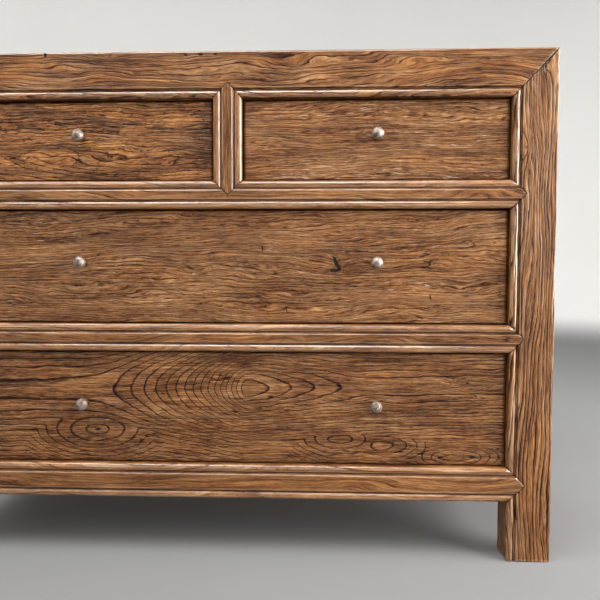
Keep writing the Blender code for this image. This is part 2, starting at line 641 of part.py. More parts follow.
class Drawer:
    """The sizes of one drawer, in its own frame: origin in the middle of the front's face."""

    def __init__(self, name, l, z):
        self.name = name
        self.middle = (l[0] + l[1]) / 2
        self.level = (z[0] + z[1]) / 2
        self.half = (l[1] - l[0]) / 2 - DRAWER_GAP
        rise = (z[1] - z[0]) / 2
        self.front = (-rise + DRAWER_FOOT_GAP, rise - DRAWER_GAP)
        self.side = (-rise + FIT, rise - DRAWER_GAP - SIDE_DROP)
        self.panel = (self.side[0] + BOTTOM_LIFT, self.side[0] + BOTTOM_LIFT + BOTTOM_THICKNESS)
        self.back = (self.panel[1] + FIT, self.side[1] - BACK_DROP)
        self.box_start = FRONT_THICKNESS + FIT
        inside_end = DEPTH - BACK_PANEL_RECESS - BACK_PANEL_THICKNESS
        self.end = inside_end - DRAWER_RECESS - DRAWER_REAR_GAP
        self.side_end = self.end - BACK_THICKNESS - FIT
        self.inner = self.half - SIDE_THICKNESS

    def build_front(self):
        across = (-self.half, self.half)
        front = block(f"{self.name}_front", DRAWER, across, (0, FRONT_THICKNESS), self.front)
        bm = bmesh.new()
        bm.from_mesh(front.data)
        rim = [edge for edge in bm.edges if all(abs(vert.co.y) < MERGE for vert in edge.verts)]
        bmesh.ops.bevel(bm, geom=rim, offset=FRONT_EASE, segments=2, affect="EDGES")
        bm.to_mesh(front.data)
        bm.free()
        tip = FRONT_THICKNESS - TAIL_LENGTH - FIT
        base = FRONT_THICKNESS + OVERRUN
        places = tail_places(*self.side)
        outline = comb(self.side[0] - FIT, self.side[1] + FIT, FRONT_THICKNESS, tip, places, FIT)
        outline += [(base, self.side[1] + FIT), (base, self.side[0] - FIT)]
        for hand in HAND_SHARES.values():
            socket_run = sorted((hand * (self.inner - FIT), hand * (self.half + OVERRUN)))
            carve(front, prism(f"{self.name}_sockets", outline, "l", *socket_run, DRAWER))
        groove = self.inner + BOTTOM_GROOVE
        run = (FRONT_THICKNESS - BOTTOM_GROOVE, FRONT_THICKNESS + OVERRUN)
        carve(front, block(f"{self.name}_groove", DRAWER, (-groove, groove), run, grown(self.panel, FIT)))
        return front

    def build_side(self, side, hand):
        tip = FRONT_THICKNESS - TAIL_LENGTH
        near = comb(*self.side, self.box_start, tip, tail_places(*self.side), 0)
        far = comb(*self.side, self.side_end, self.end, tail_places(*self.back), 0)
        run = sorted((hand * self.inner, hand * self.half))
        board = prism(f"{self.name}_side_{side}", near + far[::-1], "l", *run, DRAWER)
        groove = sorted((hand * (self.inner - OVERRUN), hand * (self.inner + BOTTOM_GROOVE)))
        length = (tip - OVERRUN, self.end + OVERRUN)
        carve(board, block(f"{self.name}_{side}_groove", DRAWER, groove, length, grown(self.panel, FIT)))
        return board

    def build_back(self):
        across = (-self.half, self.half)
        run = (self.end - BACK_THICKNESS, self.end)
        back = block(f"{self.name}_back", DRAWER, across, run, self.back)
        base = run[0]
        tip = self.end + FIT
        outer = base - OVERRUN
        ends = (self.back[0] - OVERRUN, self.back[1] + OVERRUN)
        outline = comb(*ends, base, tip, tail_places(*self.back), FIT)
        outline += [(outer, ends[1]), (outer, ends[0])]
        for hand in HAND_SHARES.values():
            socket_run = sorted((hand * (self.inner - FIT), hand * (self.half + OVERRUN)))
            carve(back, prism(f"{self.name}_back_sockets", outline, "l", *socket_run, DRAWER))
        return back

    def build_bottom(self):
        reach = self.inner + BOTTOM_GROOVE - TONGUE_PLAY
        run = (FRONT_THICKNESS - BOTTOM_GROOVE + TONGUE_PLAY, self.end)
        return block(f"{self.name}_bottom", DRAWER, (-reach, reach), run, self.panel)

    def build_knob(self, name, across, front):
        knob = turned_knob(name)
        knob.location = (across, 0, KNOB_LIFT)
        ring = arc(
            (across, KNOB_LIFT),
            (KNOB_SHANK_RADIUS + FIT, KNOB_SHANK_RADIUS + FIT),
            0,
            360 * (HOLE_SIDES - 1) / HOLE_SIDES,
            HOLE_SIDES - 1,
        )
        hole = prism(f"{name}_hole", ring, "d", -OVERRUN, FRONT_THICKNESS + OVERRUN, DRAWER)
        carve(front, hole)
        return knob

    def build(self, knob_places):
        """Makes the drawer's pieces and hangs them on an empty that slides with the drawer."""
        mover = bpy.data.objects.new(self.name, None)
        mover.location = (self.middle, FRONT_Y + DRAWER_RECESS, self.level)
        bpy.context.scene.collection.objects.link(mover)
        before = set(bpy.data.objects)
        front = self.build_front()
        wood = [self.build_side(side, hand) for side, hand in HAND_SHARES.items()]
        wood += [self.build_back(), self.build_bottom()]
        knobs = [self.build_knob(name, across, front) for name, across in knob_places]
        for obj in set(bpy.data.objects) - before:
            obj.parent = mover
        return front, wood, knobs


def turned_knob(name):
    """A domed knob on a short neck, turned about the axis of its own shank, with its collar."""
    middle = -(KNOB_REACH - KNOB_HALF_DEPTH)
    neck_angle = math.degrees(math.acos(KNOB_NECK_RADIUS / KNOB_RADIUS))
    dome = arc((0, middle), (KNOB_RADIUS, KNOB_HALF_DEPTH), -90, neck_angle, KNOB_STEPS)
    collar_start = -FIT - KNOB_COLLAR_LENGTH
    flare = [
        (KNOB_NECK_RADIUS, collar_start - KNOB_COLLAR_LENGTH / 2),
        (KNOB_COLLAR_RADIUS, collar_start + KNOB_COLLAR_LENGTH / 2),
        (KNOB_COLLAR_RADIUS, -FIT),
    ]
    shank_end = FRONT_THICKNESS + KNOB_SHANK_END
    shank = [(KNOB_SHANK_RADIUS, -FIT), (KNOB_SHANK_RADIUS, shank_end), (0, shank_end)]
    bm = bmesh.new()
    line = [bm.verts.new((max(radius, 0), run, 0)) for radius, run in dome + flare + shank]
    edges = [bm.edges.new(pair) for pair in zip(line, line[1:])]
    bmesh.ops.spin(
        bm, geom=line + edges, cent=(0, 0, 0), axis=(0, 1, 0), angle=math.tau, steps=KNOB_SIDES, use_merge=True
    )
    bmesh.ops.remove_doubles(bm, verts=bm.verts, dist=MERGE)
    knob = add_object(name, bm)
    knob.data.shade_smooth()
    knob.data.set_sharp_from_angle(angle=math.radians(50))
    return knob


def build_drawers():
    """The four drawers. Returns their fronts, their other wood and their knobs."""
    top = (UPPER_RAIL_TOP, OPENING_TOP)
    wide = (-INNER_X, INNER_X)
    column = (MUNTIN_HALF + INNER_X) / 2 + KNOB_OUTSET
    fronts = []
    wood = []
    knobs = []
    for side, hand in HAND_SHARES.items():
        span = sorted((hand * MUNTIN_HALF, hand * INNER_X))
        drawer = Drawer(f"drawer_top_{side}", span, top)
        made = drawer.build([(f"knob_top_{side}", hand * column - drawer.middle)])
        fronts.append(made[0])
        wood += made[1]
        knobs += made[2]
    levels = (
        ("middle", (MIDDLE_RAIL_TOP, UPPER_RAIL_LOW)),
        ("bottom", (BOTTOM_RAIL_TOP, MIDDLE_RAIL_LOW)),
    )
    for place, heights in levels:
        drawer = Drawer(f"drawer_{place}", wide, heights)
        pair = [(f"knob_{place}_{side}", hand * column) for side, hand in HAND_SHARES.items()]
        made = drawer.build(pair)
        fronts.append(made[0])
        wood += made[1]
        knobs += made[2]
    return fronts, wood, knobs


def finish(objects, finish_values):
    """Gives each object a material of its own with this colour, roughness and metallic value."""
    colour, roughness, metallic = finish_values
    for obj in objects:
        material = bpy.data.materials.new(obj.name)
        material.use_nodes = True
        shader = material.node_tree.nodes["Principled BSDF"]
        shader.inputs["Base Color"].default_value = (*colour, 1)
        shader.inputs["Roughness"].default_value = roughness
        shader.inputs["Metallic"].default_value = metallic
        material.diffuse_color = (*colour, 1)
        obj.data.materials.clear()
        obj.data.materials.append(material)


def main():
    clear_scene()
    carcass = build_carcass()
    fronts, boxes, knobs = build_drawers()
    hidden_names = ("runner", "guide", "kicker")
    hidden = [obj for obj in carcass if obj.name.startswith(hidden_names)]
    shown = [obj for obj in carcass if obj not in hidden]
    finish(shown + fronts, STAINED_ELM_SHARES)
    finish(hidden + boxes, INNER_WOOD_SHARES)
    finish(knobs, AGED_PEWTER_SHARES)


main()
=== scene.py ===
"""The looks of the dresser: stained elm, brushed until its harder grain stands proud, with turned
metal knobs, in a plain pale studio.

Every board has a recipe of growth rings, fibres, cracks and knots, written in metres in the
board's own directions. The same recipe is built twice from nodes: in the board's material, for
its colour and gloss, and in a relief that carves the real surface of its dense copy. The boards
that show are such copies, and they stand for the CAD nodes, which keep their collision.
"""

import json
import math
from dataclasses import dataclass, field

import bmesh
import bpy
from mathutils import Matrix, Vector

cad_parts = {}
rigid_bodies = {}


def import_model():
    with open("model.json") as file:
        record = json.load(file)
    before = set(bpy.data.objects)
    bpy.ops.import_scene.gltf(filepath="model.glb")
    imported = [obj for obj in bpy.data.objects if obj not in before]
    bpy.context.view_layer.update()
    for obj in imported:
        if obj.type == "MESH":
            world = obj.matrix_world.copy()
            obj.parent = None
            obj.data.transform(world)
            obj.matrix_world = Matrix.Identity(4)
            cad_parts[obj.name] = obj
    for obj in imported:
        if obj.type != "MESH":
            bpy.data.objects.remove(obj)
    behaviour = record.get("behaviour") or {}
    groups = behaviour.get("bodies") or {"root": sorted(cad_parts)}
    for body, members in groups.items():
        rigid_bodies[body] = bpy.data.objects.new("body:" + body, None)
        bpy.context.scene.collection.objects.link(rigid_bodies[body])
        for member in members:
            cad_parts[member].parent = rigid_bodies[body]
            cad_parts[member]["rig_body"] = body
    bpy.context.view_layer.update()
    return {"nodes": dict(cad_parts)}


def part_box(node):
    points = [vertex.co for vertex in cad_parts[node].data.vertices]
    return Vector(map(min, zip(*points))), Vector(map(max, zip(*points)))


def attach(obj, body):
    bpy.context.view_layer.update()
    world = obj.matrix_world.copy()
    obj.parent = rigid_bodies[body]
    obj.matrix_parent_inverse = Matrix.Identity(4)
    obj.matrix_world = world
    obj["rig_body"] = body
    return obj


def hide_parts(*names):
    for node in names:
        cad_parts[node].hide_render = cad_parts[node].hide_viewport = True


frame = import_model()

MM = 0.001
AXES = "xyz"

# A board's shown faces lie within SKIN of its outside and look at least this squarely outwards
SKIN = 6.0 * MM
SHOWN_SHARE = 0.35

# Corners of a mesh that are closer than WELD are one, and faces that turn less than FLAT_TURN are
# one flat face. A cut takes in corners that are closer to it than CUT_REACH, and no step is shorter
# than this share of its pitch.
WELD = 0.001 * MM
FLAT_TURN = 0.002
CUT_REACH = 0.15 * MM
SHORTEST_SHARE = 0.45
WOOD_SHARP_TURN = math.radians(38)
METAL_SHARP_TURN = math.radians(40)

# Turns in the surface that count as a convex edge, rubbed smooth and painted paler (partly wear, partly
# a painted highlight), or as a concave crease, painted darker as shade. Joints get grime.
RUBBED_TURN = math.radians(20)
CREASE_SHADE_TURN = math.radians(40)
JOINT_GRIME = 0.36

# Carving at the edge of a shown face, as a share of the rest, so that joints are slightly open
EASED_SHARE = 1.1

# Camera, fitted to the photograph's own lines
CAMERA_PLACE = (0.15662, -1.21614, 0.48583)
CAMERA_YAW = -2.031
CAMERA_PITCH = -2.633
CAMERA_ROLL = 0.104
CAMERA_LENS = 36.0
CAMERA_SENSOR = 36.0
CAMERA_CLIP = 0.01

# The marks in a board's grain. Each has its length along the board and its breadth across it, the
# detail and the roughness of its noise, and the values of the noise where it starts and is whole.
MARKS = {
    "gaps": (0.060, 0.020, 2.0, 0.60, 0.28, 0.56),
    "swell": (0.120, 0.0065, 2.0, 0.50, 0.30, 0.70),
    "strand": (0.075, 0.0026, 2.0, 0.55, 0.34, 0.66),
    "fine": (0.018, 0.0012, 4.0, 0.68, 0.37, 0.63),
    "pore": (0.015, 0.0014, 2.0, 0.50, 0.58, 0.66),
    # Thin pale streaks of painted highlight, as glints on the ridges, and the areas where they gather
    "dry": (0.026, 0.0018, 3.0, 0.60, 0.60, 0.68),
    "dry_area": (0.200, 0.060, 2.0, 0.50, 0.40, 0.65),
    "patch": (0.150, 0.030, 3.0, 0.55, 0.26, 0.74),
    "amber": (0.110, 0.022, 2.0, 0.50, 0.38, 0.66),
    "rubbed": (0.045, 0.030, 3.0, 0.60, 0.35, 0.75),
}
PLAIN_MARKS = ("swell", "strand", "fine", "pore", "patch", "amber")

# The noises behind the rest, and the values where each kind of mark starts and is whole
NOISES = {
    "wander": (0.42, 0.085, 2.0, 0.50),
    "wiggle": (0.060, 0.018, 2.0, 0.50),
    "vein": (0.160, 0.0070, 2.0, 0.60),
    "crack": (0.085, 0.0075, 2.0, 0.50),
    "crack_area": (0.13, 0.05, 2.0, 0.50),
    "ragged": (0.006, 0.004, 2.0, 0.50),
    "flake": (0.100, 0.024, 4.0, 0.62),
}
VEIN_EDGE = (0.11, 0.01)
CRACK_EDGE = (0.055, 0.012)
CRACK_AREA_EDGE = (0.66, 0.74)
CRACK_SHARE = 0.14
RAGGED = 0.9
GOUGE_EDGE = (1.05, 0.65)
FLAKE_EDGE = (0.530, 0.545)
# A flake's rim is carved as a groove and darkened as painted shade
FLAKE_RIM = 0.527
FLAKE_RIM_EDGE = (0.012, 0.002)
FLAKE_RIM_SHADE_AND_DEPTH = 0.6

# Rings: the share of a line's breadth on its outer side, and how arches, ovals and knots bend them
LINE_START = 0.25
ARCH_TIP = 0.00004
ARCH_STOP = 12.0
OVAL_FALL = 0.04
OVAL_BLEND = 0.6
KNOT_FALL = -1.3
HEART_EDGE = 0.5
MARK_MIDDLE = 0.0001

# Seeds, which take every board to a place of its own in the noise
SEED_STEPS = (3.1, 1.7, 2.3)
SEED_STEP = 0.618
FIRST_SEED = 1.0
FIRST_INNER_SEED = 30.0

# Height of each mark in the bump, and depth of each in the carved relief, against the board's own
BUMP_HEIGHTS = {
    "strand": 0.20,
    "fine": 0.08,
    "pore": -0.20,
    "vein": -0.36,
    "line": -0.50,
    "crack": -0.6,
    "hole": -0.8,
    "flake": 0.3,
}
RUBBED_BUMP = -0.7
LINE_DEPTH = 0.9
CRACK_DEPTH = 1.6
FLAKE_DEPTH = -0.7
HOLE_DEPTH = 1.4 * MM

# Wear at the corners of a board, which is deepest where hands rub it
CORNER_GAIN = 4.0
WEAR_LEAST = 0.1
WEAR_SPREAD = 0.9

# Stained elm, from the stain that gathers in the pores to the rubbed ridges
ELM_COLOURS = (
    (0.00, (0.008, 0.002, 0.0010)),
    (0.18, (0.034, 0.009, 0.0015)),
    (0.38, (0.094, 0.031, 0.0060)),
    (0.56, (0.182, 0.072, 0.0200)),
    (0.74, (0.290, 0.133, 0.0480)),
    (0.88, (0.390, 0.200, 0.0840)),
    (1.00, (0.520, 0.310, 0.1550)),
)
AMBER_TINT = (1.14, 0.98, 0.64)
# Pale, greyish colour of the painted glints on the ridges
PAINTED_GLINT_COLOUR = (0.560, 0.400, 0.270)
HOLE_COLOUR = (0.024, 0.012, 0.008)
# Colour of the painted shade in concave creases and of the grime in the joints between boards
CREASE_SHADE_AND_GRIME_COLOUR = (0.022, 0.010, 0.006)

# How far each mark moves the level of the colour, and how dull or glossy each makes the wood
MIDDLE_LEVEL = 0.590
PORE_COVER = 0.10
SWELL_TONE = 0.10
RING_TONE = 0.10
LINE_TONE = -0.42
CRACK_TONE = -0.40
FLAKE_TONE = 0.12
# Convex edges painted paler: partly worn wood, partly a painted highlight
RUBBED_AND_HIGHLIGHT_TONE = 0.22
PAINTED_GLINT_SHARE = 0.6
# How strongly the painted crease shade and the joint grime darken the colour
CREASE_SHADE_AND_GRIME_SHARE = 0.85
LINE_DULLNESS = 0.6
PORE_DULLNESS = 0.8
FINE_ROUGHNESS = -0.12
WAXED_LEVELS = (0.10, 0.55)
RIDGE_ROUGHNESS = 0.40
PORE_ROUGHNESS = 0.72
RUBBED_ROUGHNESS = 0.26
WAX_WEIGHT = 0.24
RUBBED_WEIGHT = 1.0
WOOD_SPECULAR = 0.16
WAX_ROUGHNESS = 0.27
WAX_IOR = 2.2

# Wood inside the carcass and the drawers, which was never stained
INNER_COLOURS = (
    (0.00, (0.110, 0.060, 0.030)),
    (0.35, (0.290, 0.175, 0.092)),
    (0.65, (0.400, 0.262, 0.150)),
    (1.00, (0.520, 0.370, 0.230)),
)
INNER_LEVEL = 0.50
INNER_TONES = {"patch": 0.20, "line": -0.24, "crack": -0.20}
INNER_SWINGS = {"strand": 0.14, "fine": 0.12}
INNER_HEIGHTS = {"fine": 0.4, "line": -0.3}
INNER_ROUGHNESS = 0.56
INNER_GLOSS = 0.10
INNER_BUMP = 0.25 * MM
INNER_GRAIN = {"rings": 80.0, "wander": 0.010}

# Aged pewter
PEWTER_DARK = (0.190, 0.140, 0.112)
PEWTER_PALE = (0.480, 0.395, 0.345)
PEWTER_GRIME = (0.075, 0.048, 0.034)
PEWTER_CLOUD = (6.0 * MM, 6.0 * MM, 4.0, 0.6)
PEWTER_SPECK = (0.9 * MM, 0.9 * MM, 2.0, 0.6)
SPECK_SHARE = 0.3
CLOUD_HEIGHT = 0.6
SPECK_HEIGHT = 0.4
PEWTER_WORN = (0.36, 0.62)
GRIMY_REACH = (0.45, 0.75)
PEWTER_BUMP = 0.12 * MM
PEWTER_ROUGHNESS = 0.68
WORN_ROUGHNESS = -0.10


@dataclass
class Eye:
    """An arched figure, where the saw ran level with the rings: its middle, and how far it reaches.

    Count and core say how many rings it has and how soon they spread, focal how open its arches
    are, and slant how steeply it climbs. Beyond its middle its arches follow each other ease times
    as closely as before it.
    """

    along: float
    across: float
    low: float
    high: float
    count: float = 5.0
    core: float = 0.120
    focal: float = 0.0436
    slant: float = 0.0
    ease: float = 1.0


@dataclass
class Mark:
    """A mark on a board: its middle, half its length and breadth, and how steeply it climbs."""

    along: float
    across: float
    length: float
    breadth: float
    slant: float = field(default=0.0, kw_only=True)


@dataclass
class Knot(Mark):
    """Rings that close round a small branch, with the heart of the branch in their middle."""

    rings: float = 5.0
    heart: float = 0.20


@dataclass
class Oval(Mark):
    """A closed figure in a wide arched one, with the ring count of its middle."""

    top: float = -10.0


@dataclass
class Gouge(Mark):
    """A torn spot."""


@dataclass
class Board:
    """How one board was cut: the object's axes along, across and through it, and its grain.

    Rings are counted in a metre across the board. They sway by wander and wiggle metres, and lean
    with the depth. Line, thin and steady say how dark, how broad and how unbroken their lines are.
    The next values are strengths, tone makes the whole board paler, and relief, bump and wear are
    depths in metres. Shown lists the sides that get real relief.
    """

    order: str
    rings: float = 105.0
    wander: float = 0.012
    wiggle: float = 0.0016
    lean: float = 0.35
    line: float = 0.75
    thin: float = 0.34
    steady: float = 0.30
    veins: float = 0.14
    strands: float = 0.24
    fine: float = 0.24
    pores: float = 0.10
    # Strength of the painted glints on the ridges
    dry: float = 0.5
    patches: float = 0.60
    cracks: float = 0.5
    flakes: float = 0.0
    amber: float = 0.6
    tone: float = 0.0
    relief: float = 0.30 * MM
    bump: float = 1.0 * MM
    wear: float = 0.25 * MM
    shown: str = ""
    eyes: tuple = ()
    ovals: tuple = ()
    knots: tuple = ()
    gouges: tuple = ()
    seed: float = 0.0


class Nodes:
    """A node tree with short calls, the same for a material and for a relief."""

    def __init__(self, tree):
        self.tree = tree

    def feed(self, socket, value):
        if isinstance(value, bpy.types.NodeSocket):
            self.tree.links.new(value, socket)
        else:
            socket.default_value = value

    def add(self, kind, inputs=(), **settings):
        node = self.tree.nodes.new(kind)
        for name, value in settings.items():
            setattr(node, name, value)
        for key, value in dict(inputs).items():
            self.feed(node.inputs[key], value)
        return node

    def math(self, operation, *values, clamp=False):
        node = self.add("ShaderNodeMath", enumerate(values), operation=operation, use_clamp=clamp)
        return node.outputs[0]

    def plus(self, *values):
        total = values[0]
        for value in values[1:]:
            total = self.math("ADD", total, value)
        return total

    def times(self, *values):
        product = values[0]
        for value in values[1:]:
            product = self.math("MULTIPLY", product, value)
        return product

    def scaled(self, value, factor, offset=0.0):
        return self.math("MULTIPLY_ADD", value, factor, offset)

    def about(self, value, amount):
        """A share turned into an amount about zero."""
        return self.scaled(value, amount, -0.5 * amount)

    def fold(self, value):
        """0 where a share is at its middle, and up to 1 away from it."""
        return self.math("ABSOLUTE", self.scaled(value, 2.0, -1.0))

    def vector(self, operation, *values):
        return self.add("ShaderNodeVectorMath", enumerate(values), operation=operation).outputs[0]

    def grown(self, vector, factor):
        """A vector or a colour times a factor."""
        node = self.add("ShaderNodeVectorMath", {0: vector, "Scale": factor}, operation="SCALE")
        return node.outputs[0]

    def split(self, vector):
        return tuple(self.add("ShaderNodeSeparateXYZ", {0: vector}).outputs)

    def join(self, x, y, z):
        return self.add("ShaderNodeCombineXYZ", {0: x, 1: y, 2: z}).outputs[0]

    def smooth(self, value, low, high):
        """0 below low, 1 above high and a smooth step between them."""
        inputs = {"Value": value, "From Min": low, "From Max": high}
        return self.add("ShaderNodeMapRange", inputs, interpolation_type="SMOOTHSTEP").outputs[0]

    def noise(self, place, length, breadth, detail, rough):
        """Noise of about 0 to 1 whose marks are so long along the board and so broad across it."""
        stretched = self.vector("MULTIPLY", place, (1 / length, 1 / breadth, 1 / breadth))
        inputs = {"Vector": stretched, "Scale": 1.0, "Detail": detail, "Roughness": rough}
        return self.add("ShaderNodeTexNoise", inputs).outputs[0]

    def marks(self, place, name):
        """The marks of one kind, 0 where there is none and 1 where one is whole."""
        *noise, low, high = MARKS[name]
        return self.smooth(self.noise(place, *noise), low, high)

    def chance(self, value):
        """A steady random share for each whole number."""
        return self.add("ShaderNodeTexWhiteNoise", {"W": value}, noise_dimensions="1D").outputs[0]

    def ramp(self, value, stops):
        node = self.add("ShaderNodeValToRGB", {0: value})
        elements = node.color_ramp.elements
        while len(elements) < len(stops):
            elements.new(0.5)
        for element, (position, colour) in zip(elements, stops):
            element.position = position
            element.color = (*colour, 1.0)
        return node.outputs[0]

    def blend(self, share, first, second):
        """A colour between two colours."""
        node = self.add("ShaderNodeMix", {0: share}, data_type="RGBA")
        for socket, value in zip((node.inputs[6], node.inputs[7]), (first, second)):
            self.feed(socket, (*value, 1.0) if isinstance(value, tuple) else value)
        return node.outputs[2]


def turned(nodes, place, order):
    """A place in the object's axes, given along, across and through a board."""
    parts = nodes.split(place)
    return nodes.join(*(parts[AXES.index(axis)] for axis in order))


def away(nodes, along, across, mark):
    """Offsets from the middle of a mark on the board, along it and across it."""
    run = nodes.plus(along, -mark.along)
    rise = nodes.plus(across, -mark.across)
    if mark.slant:
        rise = nodes.plus(rise, nodes.times(run, -mark.slant))
    return run, rise


def arch(nodes, along, across, eye):
    """Ring count of an arched figure, which falls away from its middle, fast and then slowly."""
    run, rise = away(nodes, along, across, eye)
    before = nodes.math("LESS_THAN", run, 0.0)
    run = nodes.times(run, nodes.scaled(before, 1.0 - eye.ease, eye.ease))
    reach = nodes.scaled(before, eye.low - eye.high, eye.high)
    length = nodes.math("SQRT", nodes.plus(nodes.times(run, run), ARCH_TIP))
    share = nodes.math("DIVIDE", length, reach)
    over = nodes.plus(nodes.math("POWER", share, ARCH_STOP), 1.0)
    length = nodes.math("DIVIDE", length, nodes.math("POWER", over, 1 / ARCH_STOP))
    bulge = nodes.times(rise, rise, 1 / eye.focal)
    far = nodes.scaled(nodes.plus(length, bulge), 1 / eye.core, 1.0)
    return nodes.times(nodes.math("LOGARITHM", far, math.e), -eye.count)


def distance(nodes, along, across, mark):
    """Distance from the middle of a mark, as a share of its length and breadth."""
    run, rise = away(nodes, along, across, mark)
    run = nodes.times(run, 1 / mark.length)
    rise = nodes.times(rise, 1 / mark.breadth)
    return nodes.math("SQRT", nodes.plus(nodes.times(run, run), nodes.times(rise, rise), MARK_MIDDLE))


def ring_count(nodes, along, flow, through, board):
    """The number of the growth ring at a place, and how much of a knot's heart is there."""
    rings = nodes.scaled(nodes.plus(flow, nodes.times(through, board.lean)), board.rings, board.seed)
    heart = 0.0
    for eye in board.eyes:
        hill = arch(nodes, along, flow, eye)
        for oval in board.ovals:
            far = distance(nodes, along, flow, oval)
            far = nodes.plus(far, nodes.times(far, far, far, OVAL_FALL))
            closed = nodes.scaled(far, -1.0, oval.top)
            hill = nodes.math("SMOOTH_MAX", hill, closed, OVAL_BLEND)
        rings = nodes.plus(rings, hill)
    for knot in board.knots:
        far = distance(nodes, along, flow, knot)
        bend = nodes.math("EXPONENT", nodes.times(far, KNOT_FALL))
        rings = nodes.plus(rings, nodes.times(bend, knot.rings))
        core = nodes.smooth(far, knot.heart * (1 + HEART_EDGE), knot.heart * (1 - HEART_EDGE))
        heart = nodes.math("MAXIMUM", core, heart)
    return rings, heart


def ring_line(nodes, seeded, turn, luck, board):
    """The dark line of each ring, which is darker in some rings and broken in places."""
    fall = nodes.smooth(turn, board.thin, 0.0)
    line = nodes.math("MAXIMUM", fall, nodes.smooth(turn, 1.0 - LINE_START * board.thin, 1.0))
    spare = 1.0 - board.steady
    line = nodes.times(line, nodes.scaled(luck, spare, board.steady))
    return nodes.times(line, nodes.scaled(nodes.marks(seeded, "gaps"), spare, board.steady))


def grain(nodes, place, board):
    """The recipe of a board at a place in its own directions, as sockets from 0 to 1."""
    seeded = nodes.vector("ADD", place, tuple(board.seed * step for step in SEED_STEPS))
    along, across, through = nodes.split(place)
    sway = nodes.plus(
        nodes.about(nodes.noise(seeded, *NOISES["wander"]), 4 * board.wander),
        nodes.about(nodes.noise(seeded, *NOISES["wiggle"]), 4 * board.wiggle),
    )
    rings, heart = ring_count(nodes, along, nodes.plus(across, sway), through, board)
    luck = nodes.chance(nodes.math("FLOOR", rings))
    line = ring_line(nodes, seeded, nodes.math("FRACT", rings), luck, board)
    streamed = nodes.vector("ADD", seeded, nodes.join(0.0, sway, 0.0))
    # Thin pale streaks painted as glints of light on the ridges
    dry = nodes.times(nodes.marks(streamed, "dry"), nodes.marks(streamed, "dry_area"))
    vein = nodes.smooth(nodes.fold(nodes.noise(streamed, *NOISES["vein"])), *VEIN_EDGE)
    crack = nodes.smooth(nodes.fold(nodes.noise(streamed, *NOISES["crack"])), *CRACK_EDGE)
    low, high = (edge - CRACK_SHARE * board.cracks for edge in CRACK_AREA_EDGE)
    crack = nodes.times(crack, nodes.smooth(nodes.noise(seeded, *NOISES["crack_area"]), low, high))
    hole = heart
    ragged = nodes.about(nodes.noise(seeded, *NOISES["ragged"]), RAGGED)
    for gouge in board.gouges:
        far = nodes.plus(distance(nodes, along, across, gouge), ragged)
        hole = nodes.math("MAXIMUM", hole, nodes.smooth(far, *GOUGE_EDGE))
    flake = 0.0
    if board.flakes:
        scale = nodes.noise(streamed, *NOISES["flake"])
        flake = nodes.times(nodes.smooth(scale, *FLAKE_EDGE), board.flakes)
        # A dark rim round each flake, carved and darkened: a groove with painted shade
        painted_rim_shade = nodes.smooth(nodes.math("ABSOLUTE", nodes.plus(scale, -FLAKE_RIM)), *FLAKE_RIM_EDGE)
        crack = nodes.math("MAXIMUM", crack, nodes.times(painted_rim_shade, FLAKE_RIM_SHADE_AND_DEPTH * board.flakes))
    wood = {name: nodes.marks(streamed, name) for name in PLAIN_MARKS}
    wood.update(luck=luck, line=line, vein=vein, dry=dry, crack=crack, hole=hole, flake=flake)
    return wood


def new_material(name):
    """A material with its nodes, its surface shader and the object's own coordinates."""
    material = bpy.data.materials.new(name)
    material.use_nodes = True
    material.node_tree.nodes.clear()
    nodes = Nodes(material.node_tree)
    shader = nodes.add("ShaderNodeBsdfPrincipled")
    nodes.add("ShaderNodeOutputMaterial", {"Surface": shader.outputs[0]})
    place = nodes.add("ShaderNodeTexCoord").outputs["Object"]
    return material, nodes, shader, place


